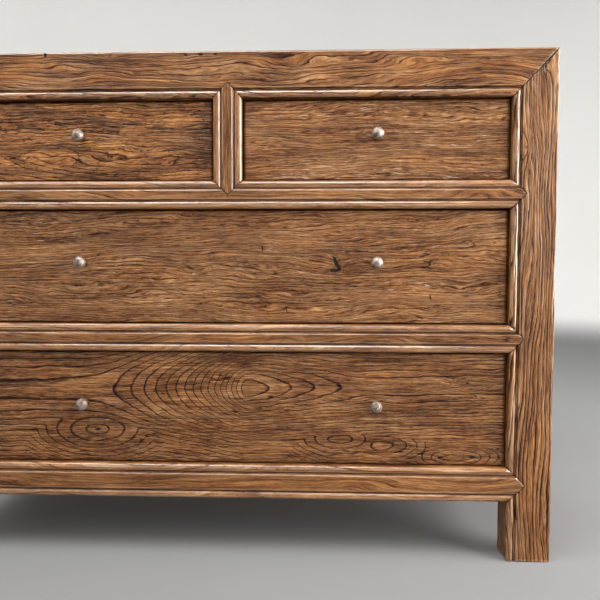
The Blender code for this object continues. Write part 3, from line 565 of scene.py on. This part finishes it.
def elm(name, board):
    """Stained, brushed and waxed elm for one board."""
    material, nodes, shader, place = new_material(name)
    wood = grain(nodes, turned(nodes, place, board.order), board)
    rubbed = nodes.add("ShaderNodeAttribute", attribute_name="rubbed").outputs["Fac"]
    # Painted shade in concave creases, and grime at joints
    crease_shade_and_joint_grime = nodes.add("ShaderNodeAttribute", attribute_name="crease_shade_and_joint_grime").outputs["Fac"]
    level = nodes.plus(
        nodes.about(wood["patch"], 0.5 * board.patches),
        MIDDLE_LEVEL + board.tone,
        nodes.about(wood["swell"], SWELL_TONE),
        nodes.times(wood["vein"], -board.veins),
        nodes.about(wood["strand"], board.strands),
        nodes.about(wood["fine"], board.fine),
        nodes.scaled(wood["pore"], -board.pores, PORE_COVER * board.pores),
        nodes.about(wood["luck"], RING_TONE),
        nodes.times(wood["line"], LINE_TONE * board.line),
        # Cracks darken the colour, and so does the painted shade at flake rims
        nodes.times(wood["crack"], CRACK_TONE),
        nodes.times(wood["flake"], FLAKE_TONE),
        # Convex edges paler: partly wear, partly a painted highlight
        nodes.times(rubbed, RUBBED_AND_HIGHLIGHT_TONE),
    )
    colour = nodes.ramp(level, ELM_COLOURS)
    amber = nodes.math("MAXIMUM", wood["flake"], nodes.times(wood["amber"], board.amber), clamp=True)
    amber = nodes.blend(amber, (1.0, 1.0, 1.0), AMBER_TINT)
    colour = nodes.vector("MULTIPLY", colour, amber)
    # Painted glints: thin pale streaks on the ridges
    colour = nodes.blend(nodes.times(wood["dry"], PAINTED_GLINT_SHARE * board.dry), colour, PAINTED_GLINT_COLOUR)
    colour = nodes.blend(wood["hole"], colour, HOLE_COLOUR)
    # Concave creases darkened as painted shade, and joints darkened as grime
    colour = nodes.blend(nodes.times(crease_shade_and_joint_grime, CREASE_SHADE_AND_GRIME_SHARE), colour, CREASE_SHADE_AND_GRIME_COLOUR)
    pores = nodes.math("MAXIMUM", nodes.times(wood["line"], LINE_DULLNESS), wood["crack"], clamp=True)
    pores = nodes.math("MAXIMUM", nodes.times(wood["pore"], PORE_DULLNESS), pores)
    pores = nodes.math("MAXIMUM", pores, nodes.plus(wood["hole"], crease_shade_and_joint_grime), clamp=True)
    smoothed = nodes.scaled(rubbed, RUBBED_ROUGHNESS - RIDGE_ROUGHNESS, RIDGE_ROUGHNESS)
    rough = nodes.plus(smoothed, nodes.times(pores, PORE_ROUGHNESS - RIDGE_ROUGHNESS))
    rough = nodes.plus(rough, nodes.about(wood["fine"], FINE_ROUGHNESS))
    wax = nodes.times(nodes.smooth(level, *WAXED_LEVELS), nodes.scaled(pores, -1.0, 1.0))
    wax = nodes.times(wax, nodes.scaled(rubbed, RUBBED_WEIGHT - WAX_WEIGHT, WAX_WEIGHT))
    height = nodes.plus(*(nodes.times(wood[mark], share) for mark, share in BUMP_HEIGHTS.items()))
    height = nodes.times(height, nodes.scaled(rubbed, RUBBED_BUMP, 1.0))
    bump = nodes.add("ShaderNodeBump", {"Strength": 1.0, "Distance": board.bump, "Height": height})
    nodes.feed(shader.inputs["Base Color"], colour)
    nodes.feed(shader.inputs["Roughness"], rough)
    nodes.feed(shader.inputs["Normal"], bump.outputs[0])
    nodes.feed(shader.inputs["Coat Weight"], wax)
    shader.inputs["Specular IOR Level"].default_value = WOOD_SPECULAR
    shader.inputs["Coat Roughness"].default_value = WAX_ROUGHNESS
    shader.inputs["Coat IOR"].default_value = WAX_IOR
    return material


def inner_wood(name, board):
    """Plain, unfinished wood for one board inside the dresser."""
    material, nodes, shader, place = new_material(name)
    wood = grain(nodes, turned(nodes, place, board.order), board)
    level = nodes.plus(
        INNER_LEVEL + board.tone,
        *(nodes.times(wood[mark], tone) for mark, tone in INNER_TONES.items()),
        *(nodes.about(wood[mark], swing) for mark, swing in INNER_SWINGS.items()),
    )
    height = nodes.plus(*(nodes.times(wood[mark], share) for mark, share in INNER_HEIGHTS.items()))
    bump = nodes.add("ShaderNodeBump", {"Strength": 1.0, "Distance": INNER_BUMP, "Height": height})
    nodes.feed(shader.inputs["Base Color"], nodes.ramp(level, INNER_COLOURS))
    nodes.feed(shader.inputs["Roughness"], nodes.scaled(wood["fine"], INNER_GLOSS, INNER_ROUGHNESS))
    nodes.feed(shader.inputs["Normal"], bump.outputs[0])
    return material


def pewter(name):
    """Cast and turned pewter, pale where hands rub it and dull in its hollows."""
    material, nodes, shader, place = new_material(name)
    clouds = nodes.noise(place, *PEWTER_CLOUD)
    specks = nodes.noise(place, *PEWTER_SPECK)
    worn = nodes.smooth(nodes.plus(clouds, nodes.about(specks, SPECK_SHARE)), *PEWTER_WORN)
    height = nodes.plus(nodes.times(clouds, CLOUD_HEIGHT), nodes.times(specks, SPECK_HEIGHT))
    bump = nodes.add("ShaderNodeBump", {"Strength": 1.0, "Distance": PEWTER_BUMP, "Height": height})
    grimy = (KNOB_FACE + share * KNOB_REACH for share in GRIMY_REACH)
    back = nodes.smooth(nodes.split(place)[1], *grimy)
    colour = nodes.blend(worn, PEWTER_DARK, PEWTER_PALE)
    nodes.feed(shader.inputs["Base Color"], nodes.blend(back, colour, PEWTER_GRIME))
    nodes.feed(shader.inputs["Roughness"], nodes.scaled(worn, WORN_ROUGHNESS, PEWTER_ROUGHNESS))
    nodes.feed(shader.inputs["Normal"], bump.outputs[0])
    shader.inputs["Metallic"].default_value = 1.0
    return material


# The boards. Places of marks are in the object's own metres.
POST = {"order": "zxy", "rings": 150.0, "wander": 0.018, "wiggle": 0.0012, "lean": 0.8, "line": 1.6,
        "thin": 0.40, "steady": 0.72, "veins": 0.12, "strands": 0.22, "patches": 0.40, "tone": 0.06,
        "relief": 0.70 * MM, "wear": 0.55 * MM, "shown": "-x +x -y +y", "cracks": 0.0}
LONG_RAIL = {"order": "xzy", "rings": 70.0, "wander": 0.026, "line": 0.65, "patches": 0.45,
             "veins": 0.12, "strands": 0.18, "fine": 0.20, "dry": 0.3, "bump": 0.5 * MM,
             "relief": 0.12 * MM, "wear": 0.20 * MM, "shown": "-y +z -z", "cracks": 0.0, "tone": 0.02}
SIDE_RAIL = {"order": "yzx", "rings": 120.0, "line": 0.55, "relief": 0.25 * MM, "wear": 0.40 * MM}
FRONT = {"order": "xzy", "relief": 0.45 * MM, "wear": 0.35 * MM, "shown": "-y",
         "patches": 0.50, "veins": 0.12, "strands": 0.16, "fine": 0.32, "pores": 0.26}
PANEL = {"order": "zyx", "rings": 120.0, "wander": 0.008, "wiggle": 0.0008, "line": 0.45, "steady": 0.6,
         "veins": 0.10, "strands": 0.14, "fine": 0.18, "patches": 0.40, "cracks": 0.0,
         "relief": 0.30 * MM}
BACK_PANEL = {"order": "xzy", "wiggle": 0.0010, "strands": 0.14, "fine": 0.18, "cracks": 0.0,
              "tone": -0.02}

ELM_BOARDS = {
    "post_front_left": Board(**POST),
    "post_front_right": Board(
        **POST,
        knots=(
            Knot(0.8194, 0.5228, 0.012, 0.008, 2.0, 0.24),
            Knot(0.860, 0.490, 0.075, 0.050, -4.0, 0.0),
            Knot(0.690, 0.484, 0.030, 0.014, -3.0, 0.0),
        ),
    ),
    "post_rear_left": Board(**POST),
    "post_rear_right": Board(**POST),
    "top_rail_front": Board(
        "xzy", rings=140.0, wander=0.032, wiggle=0.0030, line=1.1, relief=0.30 * MM, wear=0.50 * MM,
        shown="-y +z", thin=0.24, steady=0.70, strands=0.22, cracks=0.0, tone=0.0, amber=1.0,
        knots=(
            Knot(-0.045, 0.852, 0.060, 0.012, 4.0, 0.0),
            Knot(-0.215, 0.845, 0.060, 0.018, 5.0, 0.0, slant=-0.25),
        ),
        gouges=(
            Gouge(-0.0691, 0.8436, 0.0040, 0.0018),
            Gouge(-0.0442, 0.8440, 0.0060, 0.0020),
            Gouge(-0.0194, 0.8442, 0.0045, 0.0018),
            Gouge(-0.3034, 0.8458, 0.0030, 0.0040),
        ),
    ),
    "top_rail_rear": Board("xzy", relief=0.25 * MM, wear=0.40 * MM, shown="+y +z"),
    "top_rail_left": Board(**SIDE_RAIL, shown="-x +z"),
    "top_rail_right": Board(**SIDE_RAIL, shown="+x +z"),
    "top_panel": Board("xyz", rings=85.0, wander=0.018, relief=0.30 * MM, shown="+z",
                       steady=0.5, eyes=(Eye(-0.10, 0.02, 0.30, 0.25, focal=0.060),)),
    "upper_rail": Board(**LONG_RAIL),
    "middle_rail": Board(**LONG_RAIL),
    "bottom_rail_front": Board(**LONG_RAIL),
    "muntin": Board(
        "zxy", rings=150.0, wander=0.004, line=0.5, relief=0.12 * MM, wear=0.20 * MM, shown="-y -x +x",
        patches=0.35, cracks=0.0, tone=0.02, veins=0.12, strands=0.18, fine=0.20, bump=0.5 * MM,
        dry=0.3,
    ),
    "bottom_rail_left": Board(**SIDE_RAIL, shown="-x +z -z"),
    "bottom_rail_right": Board(**SIDE_RAIL, shown="+x +z -z"),
    "bottom_rail_rear": Board("xzy", relief=0.25 * MM),
    "upper_rail_rear": Board("xzy", relief=0.25 * MM),
    "side_panel_left": Board(**PANEL, shown="-x", eyes=(Eye(0.45, 0.06, 0.25, 0.30, focal=0.055),)),
    "side_panel_right": Board(**PANEL, shown="+x", eyes=(Eye(0.36, -0.05, 0.28, 0.22, focal=0.050),)),
    "back_panel_upper": Board(**BACK_PANEL),
    "back_panel_lower": Board(**BACK_PANEL),
    "drawer_top_left_front": Board(
        **FRONT, rings=150.0, wander=0.014, wiggle=0.0028, line=1.2, thin=0.22, steady=0.70, flakes=1.0,
        cracks=0.4, tone=-0.07, amber=1.0, knots=(Knot(-0.400, 0.680, 0.240, 0.048, -7.0, 0.0),),
    ),
    "drawer_top_right_front": Board(
        **FRONT, rings=230.0, wander=0.014, wiggle=0.0026, line=0.85, thin=0.24, steady=0.7, dry=1.5,
        cracks=0.0, tone=0.02,
    ),
    "drawer_middle_front": Board(
        **FRONT, rings=200.0, wander=0.018, wiggle=0.0026, line=0.95, thin=0.24, steady=0.7, dry=0.9,
        cracks=0.0, tone=0.0,
        gouges=(
            Gouge(0.1805, 0.5025, 0.0058, 0.0085, slant=-1.5),
            Gouge(0.1790, 0.4885, 0.0100, 0.0040),
            Gouge(0.1860, 0.4935, 0.0040, 0.0060),
            Gouge(0.3391, 0.4438, 0.0018, 0.0048, slant=-2.0),
            Gouge(0.3204, 0.4108, 0.0097, 0.0014, slant=-0.41),
            Gouge(0.0571, 0.5250, 0.0013, 0.0064),
            Gouge(0.0678, 0.4332, 0.0035, 0.0018),
            Gouge(0.0978, 0.4228, 0.0024, 0.0030, slant=-3.0),
        ),
    ),
    "drawer_bottom_front": Board(
        **FRONT, rings=8.0, wander=0.003, wiggle=0.0024, line=1.45, thin=0.20, steady=0.80, cracks=0.3,
        tone=-0.03,
        eyes=(Eye(0.0290, 0.2870, 0.238, 0.040, 12.5, 0.080, 0.0420, 0.02, ease=0.22),),
        ovals=(
            Oval(-0.2284, 0.2136, 0.033, 0.0150, top=-16.4),
            Oval(0.1893, 0.2011, 0.026, 0.0110, top=-13.0),
            Oval(0.2606, 0.1899, 0.026, 0.0100, top=-14.0),
            Oval(0.3850, 0.1727, 0.026, 0.0080, top=-15.0),
        ),
        knots=(
            Knot(-0.2284, 0.2136, 0.010, 0.006, 1.0, 0.50),
            Knot(0.3585, 0.1723, 0.010, 0.004, 1.0, 0.50),
            Knot(0.4122, 0.1730, 0.012, 0.005, 1.0, 0.50),
        ),
        gouges=(Gouge(0.0712, 0.2731, 0.0065, 0.0022),),
    ),
}

INNER_ORDERS = {
    "runner": "yxz",
    "guide": "yxz",
    "kicker": "yxz",
    "side_left": "yzx",
    "side_right": "yzx",
    "back": "xzy",
    "bottom": "xyz",
}


def levels(values, pitch, reuse):
    """Heights at which to cut, in even steps. With reuse, corners already there count as steps."""
    low, high = min(values), max(values)
    kept = [low]
    for value in sorted(values) if reuse else ():
        if value - kept[-1] > SHORTEST_SHARE * pitch:
            kept.append(value)
    if high - kept[-1] > SHORTEST_SHARE * pitch:
        kept.append(high)
    made = []
    for start, end in zip(kept, kept[1:]):
        steps = max(1, round((end - start) / pitch))
        made += [start + (end - start) * step / steps for step in range(steps)]
    return made[1:]


def cut_faces(bm, faces, axis, heights):
    """Cuts the faces at each height in turn, and leaves alone what lies below a cut."""
    normal = Vector((0, 0, 0))
    normal[axis] = 1
    finished = []
    ahead = list(faces)
    for height in heights:
        edges = list({edge for face in ahead for edge in face.edges})
        verts = list({vert for face in ahead for vert in face.verts})
        made = bmesh.ops.bisect_plane(
            bm, geom=ahead + edges + verts, dist=CUT_REACH, plane_co=normal * height, plane_no=normal
        )
        found = [item for item in made["geom"] if isinstance(item, bmesh.types.BMFace)]
        ahead = [face for face in found if face.calc_center_bounds()[axis] > height]
        passed = set(ahead)
        finished += [face for face in found if face not in passed]
    return finished + ahead


def shown_faces(bm, shown):
    """Faces near the board's outside that look in one of the directions written as -x +z and so on."""
    found = []
    for word in shown.split():
        axis = AXES.index(word[1])
        hand = 1 if word[0] == "+" else -1
        outside = max(hand * vert.co[axis] for vert in bm.verts)
        for face in bm.faces:
            sunk = outside - hand * face.calc_center_median()[axis]
            if hand * face.normal[axis] > SHOWN_SHARE and sunk < SKIN:
                found.append(face)
    return list(dict.fromkeys(found))


def dense_copy(node, board, pitches):
    """A closed copy of a CAD node whose shown faces are cut finely enough to be carved."""
    bm = bmesh.new()
    bm.from_mesh(frame["nodes"][node].data)
    bmesh.ops.remove_doubles(bm, verts=bm.verts, dist=WELD)
    bmesh.ops.dissolve_limit(bm, angle_limit=FLAT_TURN, verts=bm.verts, edges=bm.edges)
    faces = shown_faces(bm, board.shown)
    for letter, pitch in list(zip(board.order, pitches))[::-1]:
        axis = AXES.index(letter)
        values = {vert.co[axis] for face in faces for vert in face.verts}
        faces = cut_faces(bm, faces, axis, levels(values, pitch, letter != board.order[0]))
    inside = set(faces)
    for face in bm.faces:
        face.smooth = True
    carved = bm.verts.layers.float.new("carved")
    rubbed = bm.verts.layers.float.new("rubbed")
    crease_shade_and_joint_grime = bm.verts.layers.float.new("crease_shade_and_joint_grime")
    for vert in bm.verts:
        cut = [face in inside for face in vert.link_faces]
        whole = all(cut)
        vert[carved] = 1.0 if whole else EASED_SHARE * any(cut)
        turns = [0.0]
        for edge in vert.link_edges:
            if all(face in inside for face in edge.link_faces):
                turns.append(edge.calc_face_angle_signed(0.0))
        # Convex edges are rubbed: smoother and glossier, and painted paler, partly as wear and partly
        # as a highlight
        vert[rubbed] = min(max(turns) / RUBBED_TURN, 1.0)
        # Concave creases are darkened as painted shade, and the edges of shown faces, at joints, as
        # grime
        vert[crease_shade_and_joint_grime] = min(-min(turns) / CREASE_SHADE_TURN, 1.0)
        if not whole:
            vert[crease_shade_and_joint_grime] = max(vert[crease_shade_and_joint_grime], JOINT_GRIME)
    mesh = bpy.data.meshes.new(node)
    bm.to_mesh(mesh)
    bm.free()
    return mesh


def relief_tree(name, board):
    """Geometry nodes that carve a board's recipe into its surface, always inwards."""
    tree = bpy.data.node_groups.new(name, "GeometryNodeTree")
    tree.interface.new_socket("Geometry", in_out="INPUT", socket_type="NodeSocketGeometry")
    tree.interface.new_socket("Geometry", in_out="OUTPUT", socket_type="NodeSocketGeometry")
    nodes = Nodes(tree)
    place = nodes.add("GeometryNodeInputPosition").outputs[0]
    normal = nodes.add("GeometryNodeInputNormal").outputs[0]
    attribute = nodes.add("GeometryNodeInputNamedAttribute", {"Name": "carved"}, data_type="FLOAT")
    carved = attribute.outputs[0]
    own = turned(nodes, place, board.order)
    wood = grain(nodes, own, board)
    depth = nodes.plus(
        nodes.scaled(wood["swell"], -1.0, 1.0),
        nodes.times(wood["line"], LINE_DEPTH * board.line),
        nodes.times(wood["crack"], CRACK_DEPTH),
        nodes.times(wood["flake"], FLAKE_DEPTH),
    )
    depth = nodes.times(nodes.math("MAXIMUM", depth, 0.0), board.relief)
    depth = nodes.plus(depth, nodes.times(wood["hole"], HOLE_DEPTH))
    squares = nodes.split(nodes.vector("MULTIPLY", normal, normal))
    corner = nodes.plus(
        nodes.times(squares[0], squares[1]),
        nodes.times(squares[1], squares[2]),
        nodes.times(squares[2], squares[0]),
    )
    rubbed = nodes.marks(own, "rubbed")
    worn = nodes.scaled(rubbed, WEAR_SPREAD * board.wear, WEAR_LEAST * board.wear)
    wear = nodes.times(corner, CORNER_GAIN, worn)
    offset = nodes.times(nodes.plus(depth, wear), carved, -1.0)
    uncut = nodes.add("NodeGroupInput").outputs[0]
    moves = {"Geometry": uncut, "Offset": nodes.grown(normal, offset)}
    nodes.add("NodeGroupOutput", {0: nodes.add("GeometryNodeSetPosition", moves).outputs[0]})
    return tree


def brushed_board(node, board, pitches):
    """Replaces a CAD node by its dense copy, with the grain carved into it."""
    mesh = dense_copy(node, board, pitches)
    piece = bpy.data.objects.new(f"{node}_brushed", mesh)
    bpy.context.scene.collection.objects.link(piece)
    relief = piece.modifiers.new("relief", "NODES")
    relief.node_group = relief_tree(node, board)
    evaluated = piece.evaluated_get(bpy.context.evaluated_depsgraph_get())
    shaped = bpy.data.meshes.new_from_object(evaluated)
    piece.modifiers.clear()
    piece.data = shaped
    bpy.data.meshes.remove(mesh)
    shaped.set_sharp_from_angle(angle=WOOD_SHARP_TURN)
    shaped.materials.clear()
    shaped.materials.append(elm(node, board))
    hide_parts(node)
    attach(piece, frame["nodes"][node]["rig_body"])


def finish_node(node, material):
    """Gives a CAD node that stays as it is its material."""
    slots = frame["nodes"][node].data.materials
    slots.clear()
    slots.append(material)


def turned_mesh(name, profile, sides, middle):
    """A closed turned form about an axis along Y. The profile is radius and place, end to end."""
    bm = bmesh.new()
    line = [bm.verts.new((radius, run, 0)) for radius, run in profile]
    edges = [bm.edges.new(pair) for pair in zip(line, line[1:])]
    bmesh.ops.spin(bm, geom=line + edges, axis=(0, 1, 0), angle=math.tau, steps=sides, use_merge=True)
    bmesh.ops.remove_doubles(bm, verts=bm.verts, dist=WELD)
    bmesh.ops.recalc_face_normals(bm, faces=bm.faces)
    bmesh.ops.translate(bm, verts=bm.verts, vec=middle)
    mesh = bpy.data.meshes.new(name)
    bm.to_mesh(mesh)
    bm.free()
    mesh.shade_smooth()
    mesh.set_sharp_from_angle(angle=METAL_SHARP_TURN)
    return mesh


# Sizes of the knobs
KNOB_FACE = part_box("knob_top_right")[0].y
KNOB_REACH = 27.0 * MM
KNOB_RADIUS = 10.3 * MM
KNOB_HALF_DEPTH = 8.5 * MM
NECK_RADIUS = 4.2 * MM
COLLAR_RADIUS = 6.5 * MM
COLLAR_LENGTH = 2.8 * MM
SHANK_RADIUS = 2.8 * MM
SHANK_END = 3.5 * MM
SHANK_CHAMFER = 0.4 * MM
DOME_STEPS = 22
FLARE_STEPS = 8
FLARE_POWER = 2.2
FLARE_START = 1.6
COLLAR_SWELL = 0.05 * MM
COLLAR_BAND = (1.15, 1.35)
COLLAR_CHAMFER = 0.3 * MM
FRONT_THICKNESS = 20.0 * MM
FIT = 0.3 * MM
KNOB_SIDES = 48
DIMPLE_DEPTH = 0.5 * MM
DIMPLE_RADIUS = 0.9 * MM

# Outlines of the washer and the nut as radius and place, from the inside of the drawer's front
BORE = SHANK_RADIUS + FIT
WASHER_SIDES = 40
WASHER = (
    (BORE, 0.1 * MM),
    (6.6 * MM, 0.1 * MM),
    (6.9 * MM, 0.4 * MM),
    (6.6 * MM, 1.0 * MM),
    (BORE, 1.1 * MM),
    (BORE, 0.1 * MM),
)
NUT_SIDES = 6
NUT = (
    (BORE, 1.2 * MM),
    (4.9 * MM, 1.2 * MM),
    (5.2 * MM, 1.6 * MM),
    (5.2 * MM, 2.6 * MM),
    (4.7 * MM, 3.2 * MM),
    (BORE, 3.3 * MM),
    (BORE, 1.2 * MM),
)


def knob_profile():
    """Radius and place of the knob's turned outline, from its dimpled face to the end of its shank."""
    middle = KNOB_HALF_DEPTH - KNOB_REACH
    neck_turn = math.acos(NECK_RADIUS / KNOB_RADIUS)
    dome = []
    for step in range(DOME_STEPS + 1):
        turn = -math.pi / 2 + (neck_turn + math.pi / 2) * step / DOME_STEPS
        radius = KNOB_RADIUS * math.cos(turn)
        dimple = DIMPLE_DEPTH * math.exp(-((radius / DIMPLE_RADIUS) ** 2)) if turn < 0 else 0.0
        dome.append((max(radius, 0.0), middle + KNOB_HALF_DEPTH * math.sin(turn) + dimple))
    flare = []
    start = -FIT - COLLAR_LENGTH * FLARE_START
    for step in range(FLARE_STEPS + 1):
        share = step / FLARE_STEPS
        radius = NECK_RADIUS + (COLLAR_RADIUS - NECK_RADIUS) * share**FLARE_POWER
        flare.append((radius, start + COLLAR_LENGTH * share))
    collar = [
        (COLLAR_RADIUS + COLLAR_SWELL, start + COLLAR_LENGTH * COLLAR_BAND[0]),
        (COLLAR_RADIUS, start + COLLAR_LENGTH * COLLAR_BAND[1]),
        (COLLAR_RADIUS - COLLAR_CHAMFER, -FIT),
    ]
    end = FRONT_THICKNESS + SHANK_END
    shank = [
        (SHANK_RADIUS, -FIT),
        (SHANK_RADIUS, end - SHANK_CHAMFER),
        (SHANK_RADIUS - SHANK_CHAMFER, end),
        (0.0, end),
    ]
    return dome + flare + collar + shank


def add_metal(name, mesh, material, body):
    """A new metal piece, on the body that carries it."""
    piece = bpy.data.objects.new(name, mesh)
    bpy.context.scene.collection.objects.link(piece)
    mesh.materials.append(material)
    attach(piece, body)
    return piece


def fit_knobs(material):
    """Finer knobs in place of the CAD ones, each with a washer and a nut on its shank inside."""
    knobs = [node for node in frame["nodes"] if node.startswith("knob_")]
    for node in knobs:
        low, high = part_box(node)
        face = high.y - FRONT_THICKNESS - SHANK_END
        middle = Vector(((low.x + high.x) / 2, face, (low.z + high.z) / 2))
        body = frame["nodes"][node]["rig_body"]
        mesh = turned_mesh(node, knob_profile(), KNOB_SIDES, middle)
        knob = add_metal(f"{node}_turned", mesh, material, body)
        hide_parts(node)
        inside = middle + Vector((0, FRONT_THICKNESS, 0))
        add_metal(f"{node}_washer", turned_mesh(node, WASHER, WASHER_SIDES, inside), material, body)
        add_metal(f"{node}_nut", turned_mesh(node, NUT, NUT_SIDES, inside), material, body)


# Steps of the dense copies along, across and through each kind of board
PITCHES = {
    "post": (6.0 * MM, 1.5 * MM, 1.5 * MM),
    "top_rail": (6.0 * MM, 1.5 * MM, 1.5 * MM),
    "top_panel": (7.0 * MM, 2.0 * MM, 20.0 * MM),
    "upper_rail": (8.0 * MM, 1.6 * MM, 3.0 * MM),
    "middle_rail": (8.0 * MM, 1.6 * MM, 3.0 * MM),
    "bottom_rail": (8.0 * MM, 1.6 * MM, 3.0 * MM),
    "muntin": (5.0 * MM, 1.5 * MM, 3.0 * MM),
    "side_panel": (7.0 * MM, 2.0 * MM, 20.0 * MM),
    "drawer": (5.0 * MM, 1.3 * MM, 5.0 * MM),
}


def dress_wood():
    """Every wooden piece: brushed copies of the boards that show, and materials for the rest."""
    for count, (node, board) in enumerate(ELM_BOARDS.items()):
        board.seed = FIRST_SEED + SEED_STEP * count
        if board.shown:
            pitches = next(sizes for start, sizes in PITCHES.items() if node.startswith(start))
            brushed_board(node, board, pitches)
        else:
            finish_node(node, elm(node, board))
    rest = [node for node in frame["nodes"] if node not in ELM_BOARDS and not node.startswith("knob_")]
    for count, node in enumerate(sorted(rest)):
        order = next(axes for part, axes in INNER_ORDERS.items() if part in node)
        board = Board(order, seed=FIRST_INNER_SEED + SEED_STEP * count, **INNER_GRAIN)
        finish_node(node, inner_wood(node, board))


# Studio
FLOOR_COLOUR = (0.25, 0.25, 0.25)
WALL_COLOUR = (0.86, 0.85, 0.82)
STUDIO_RADIUS = 4.2
COVE_RADIUS = 0.9
STUDIO_HEIGHT = 3.4
STUDIO_SIDES = 96
WALL_START = 0.2 * COVE_RADIUS
STUDIO_RINGS = (0.001, 0.5, 1.5, STUDIO_RADIUS - COVE_RADIUS)
COVE_STEPS = 12
STUDIO_WELD = 2 * MM
STUDIO_ROUGHNESS = 0.85
MOTTLE = (0.6, 0.6, 5.0, 0.6)
GRIT = (0.012, 0.012, 3.0, 0.6)
MOTTLE_SHADE = (0.10, 0.93)
GRIT_SHADE = 0.05
SKY_COLOUR = (0.93, 0.96, 1.0)
SKY_STRENGTH = 0.20
WALL_GLOW = 0.18

# Place, target, size in metres, power in watts and colour of each lamp
LAMPS = {
    "window": ((2.5, -0.95, 1.15), (0.1, -0.2, 0.50), (2.1, 2.0), 148.0, (1.0, 0.985, 0.97)),
    "ceiling": ((-0.35, -1.20, 2.6), (0.1, -0.2, 0.45), (2.6, 1.2), 71.0, (0.97, 0.985, 1.0)),
    "rear": ((-1.3, 2.4, 2.2), (0.0, 0.2, 0.45), (2.2, 1.4), 40.0, (0.97, 0.985, 1.0)),
}


def studio_material():
    """Pale, faintly mottled plaster that turns from the floor's grey to the wall's white.

    To the camera, and in gloss and glass, the wall looks as pale as in daylight.
    """
    material, nodes, shader, place = new_material("studio")
    mottle = nodes.noise(place, *MOTTLE)
    grit = nodes.noise(place, *GRIT)
    height = nodes.split(place)[2]
    wall = nodes.smooth(height, 0.0, WALL_START)
    colour = nodes.blend(wall, FLOOR_COLOUR, WALL_COLOUR)
    shade = nodes.plus(nodes.scaled(mottle, *MOTTLE_SHADE), nodes.about(grit, GRIT_SHADE))
    tinted = nodes.grown(colour, shade)
    nodes.feed(shader.inputs["Base Color"], tinted)
    ray = nodes.add("ShaderNodeLightPath").outputs
    seen = nodes.math("MAXIMUM", ray["Is Camera Ray"], ray["Is Glossy Ray"])
    seen = nodes.math("MAXIMUM", seen, ray["Is Transmission Ray"])
    nodes.feed(shader.inputs["Emission Color"], tinted)
    nodes.feed(shader.inputs["Emission Strength"], nodes.times(wall, seen, WALL_GLOW))
    shader.inputs["Roughness"].default_value = STUDIO_ROUGHNESS
    return material


def studio():
    """A round floor whose edge curves up into a wall, the same from every side."""
    profile = [(run, 0.0) for run in STUDIO_RINGS]
    for step in range(1, COVE_STEPS + 1):
        turn = math.pi / 2 * step / COVE_STEPS
        run = STUDIO_RADIUS - COVE_RADIUS + COVE_RADIUS * math.sin(turn)
        profile.append((run, COVE_RADIUS * (1 - math.cos(turn))))
    profile.append((STUDIO_RADIUS, STUDIO_HEIGHT))
    bm = bmesh.new()
    line = [bm.verts.new((run, 0, height)) for run, height in profile]
    edges = [bm.edges.new(pair) for pair in zip(line, line[1:])]
    bmesh.ops.spin(
        bm, geom=line + edges, axis=(0, 0, 1), angle=math.tau, steps=STUDIO_SIDES, use_merge=True
    )
    bmesh.ops.remove_doubles(bm, verts=bm.verts, dist=STUDIO_WELD)
    mesh = bpy.data.meshes.new("studio_floor")
    bm.to_mesh(mesh)
    bm.free()
    mesh.shade_smooth()
    mesh.materials.append(studio_material())
    floor = bpy.data.objects.new("studio_floor", mesh)
    bpy.context.scene.collection.objects.link(floor)


def lamp(name, place, target, size, power, colour):
    """A soft rectangular lamp that faces a point."""
    data = bpy.data.lights.new(name, "AREA")
    data.shape = "RECTANGLE"
    data.size, data.size_y = size
    data.energy = power
    data.color = colour
    light = bpy.data.objects.new(name, data)
    bpy.context.scene.collection.objects.link(light)
    light.visible_camera = False
    light.location = place
    light.rotation_euler = (Vector(target) - Vector(place)).to_track_quat("-Z", "Y").to_euler()


def light_scene():
    """Daylight from a tall window on the right, soft fills above and behind, and a pale sky."""
    for name, settings in LAMPS.items():
        lamp(name, *settings)
    world = bpy.data.worlds.new("sky")
    world.use_nodes = True
    background = world.node_tree.nodes["Background"]
    background.inputs["Color"].default_value = (*SKY_COLOUR, 1.0)
    background.inputs["Strength"].default_value = SKY_STRENGTH
    bpy.context.scene.world = world
    bpy.context.scene.view_settings.view_transform = "Standard"


def camera():
    """The photograph's camera."""
    data = bpy.data.cameras.new("camera")
    data.lens = CAMERA_LENS
    data.sensor_width = CAMERA_SENSOR
    data.clip_start = CAMERA_CLIP
    view = bpy.data.objects.new("camera", data)
    bpy.context.scene.collection.objects.link(view)
    yaw = math.radians(CAMERA_YAW)
    pitch = math.radians(CAMERA_PITCH)
    level = math.cos(pitch)
    ahead = Vector((math.sin(yaw) * level, math.cos(yaw) * level, math.sin(pitch)))
    turn = ahead.to_track_quat("-Z", "Y").to_matrix()
    roll = Matrix.Rotation(math.radians(CAMERA_ROLL), 3, "Z")
    view.matrix_world = (turn @ roll).to_4x4()
    view.location = CAMERA_PLACE
    bpy.context.scene.camera = view


dress_wood()
fit_knobs(pewter("aged_pewter"))
studio()
light_scene()
camera()
